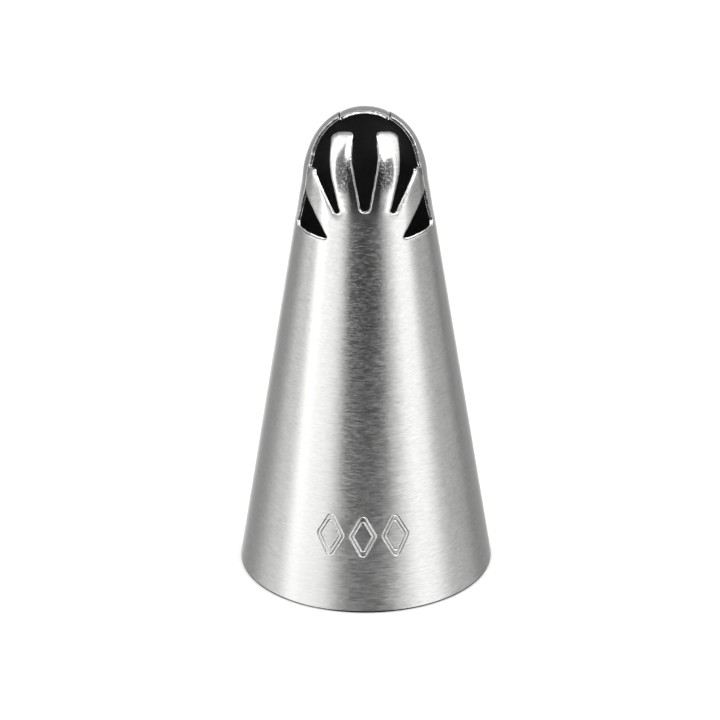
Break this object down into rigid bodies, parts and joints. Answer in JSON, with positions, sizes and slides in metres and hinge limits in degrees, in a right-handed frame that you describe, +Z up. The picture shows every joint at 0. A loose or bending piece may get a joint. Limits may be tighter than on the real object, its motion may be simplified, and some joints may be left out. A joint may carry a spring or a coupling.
{
  "type": "piping nozzle",
  "caption": "Small steel piping nozzle: a plain cone that ends in a ball-shaped crown with a slotted mouth at one side.",
  "frame": {"origin": "centre of the wide rim's lower face", "axes": "+Z up the nozzle's axis towards the crown; the open mouth, the prongs and the windows face -Y; the cone's seam weld is at +Y"},
  "size_m": [0.018, 0.018, 0.035],
  "materials": {
    "cone_steel": "fine brushing round the axis",
    "crown_steel": "polished, with a fine grain",
    "weld_steel": "ground flush and brushed"
  },
  "bodies": {
    "root": {"skirt": "cone_steel", "skirt_seam_weld": "weld_steel", "crown": "crown_steel", "ring_weld": "weld_steel"}
  },
  "joints": []
}
